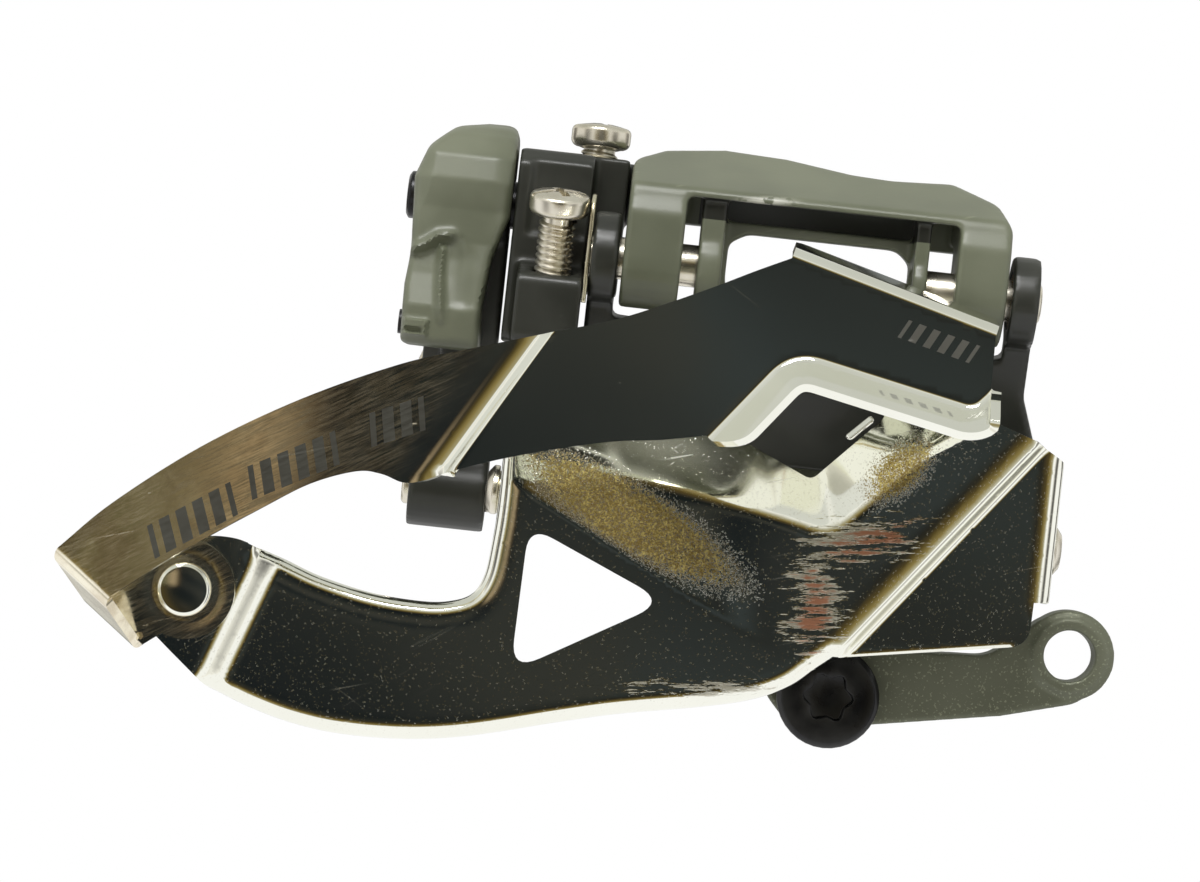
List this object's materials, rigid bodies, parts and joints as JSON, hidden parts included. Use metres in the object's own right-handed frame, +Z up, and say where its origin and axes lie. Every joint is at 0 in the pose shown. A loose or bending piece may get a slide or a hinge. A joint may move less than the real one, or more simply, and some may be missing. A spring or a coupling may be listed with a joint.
{
  "type": "front derailleur",
  "caption": "Bicycle front derailleur: chromed chain cage on a sprung parallel linkage, with two limit screws, on a direct-mount bracket.",
  "frame": {"origin": "on the bracket's frame-side face, midway between its two bolt holes", "axes": "+X forward along the link pivots, +Y inboard out of the frame-side face, +Z up"},
  "size_m": [0.1094, 0.0425, 0.0664],
  "materials": {
    "chrome": "polished chrome plate, finely scratched",
    "cast_grey": "satin grey coat on a die casting",
    "black_moulding": "semi-gloss black coat",
    "bracket_grey": "dark grey metallic coat",
    "black_steel": "black oxide",
    "nickel": "warm nickel plate",
    "bush": "self-lubricating liner",
    "spring_steel": "bronzed spring steel"
  },
  "bodies": {
    "bracket": {"mount_bracket": "bracket_grey", "mount_bolt": "black_steel", "bracket_screw_left": "black_steel", "bracket_screw_right": "black_steel", "body_casting": "cast_grey", "stop_block": "black_moulding", "block_screw": "black_steel", "link_pin_left": "nickel", "link_pin_right": "nickel", "inner_pin_top": "black_steel", "return_spring": "spring_steel"},
    "outer_link": {"outer_link": "black_moulding", "bush_ear_left": "bush", "bush_ear_right": "bush", "bush_low_left": "bush", "bush_low_right": "bush"},
    "inner_link": {"inner_link": "black_moulding", "bush_lever": "bush", "lever_block": "cast_grey", "lever_cross_pin": "black_steel", "cable_anchor_bolt": "black_steel", "anchor_washer": "nickel"},
    "cage": {"outer_cage_plate": "chrome", "inner_cage_plate": "chrome", "tail_rivet": "chrome", "bridge_rivet": "chrome", "cage_pin_left": "nickel", "cage_pin_right": "nickel", "inner_pin_low": "nickel"},
    "low_limit_screw": {"low_limit_screw": "nickel"},
    "high_limit_screw": {"high_limit_screw": "nickel"}
  },
  "joints": [
    {"name": "cage_swing", "type": "hinge", "parent": "bracket", "child": "outer_link", "pos_m": [0, -0.012, 0.0397], "axis": [-1, 0, 0], "range_deg": [0, 30], "stiffness_Nm_per_rad": 0.35, "springref_deg": -40.11},
    {"name": "inner_link_swing", "type": "hinge", "parent": "bracket", "child": "inner_link", "pos_m": [0, -0.004, 0.0443], "axis": [-1, 0, 0], "range_deg": [0, 25.5]},
    {"name": "cage_keep_upright", "type": "hinge", "parent": "outer_link", "child": "cage", "pos_m": [0, -0.004, 0.0143], "axis": [-1, 0, 0], "range_deg": [-35.5, 0]},
    {"name": "low_limit_turn", "type": "hinge", "parent": "bracket", "child": "low_limit_screw", "pos_m": [-0.046, -0.0143, 0.0433], "axis": [0, -0.2588, 0.9659], "range_deg": [-360, 360]},
    {"name": "high_limit_turn", "type": "hinge", "parent": "bracket", "child": "high_limit_screw", "pos_m": [-0.0426, -0.0015, 0.0514], "axis": [0, 0, 1], "range_deg": [-360, 360]}
  ],
  "couplings": [
    {"joint": "inner_link_swing", "follows": "cage_swing", "ratio": 0.84},
    {"joint": "cage_keep_upright", "follows": "cage_swing", "ratio": -1.17}
  ]
}
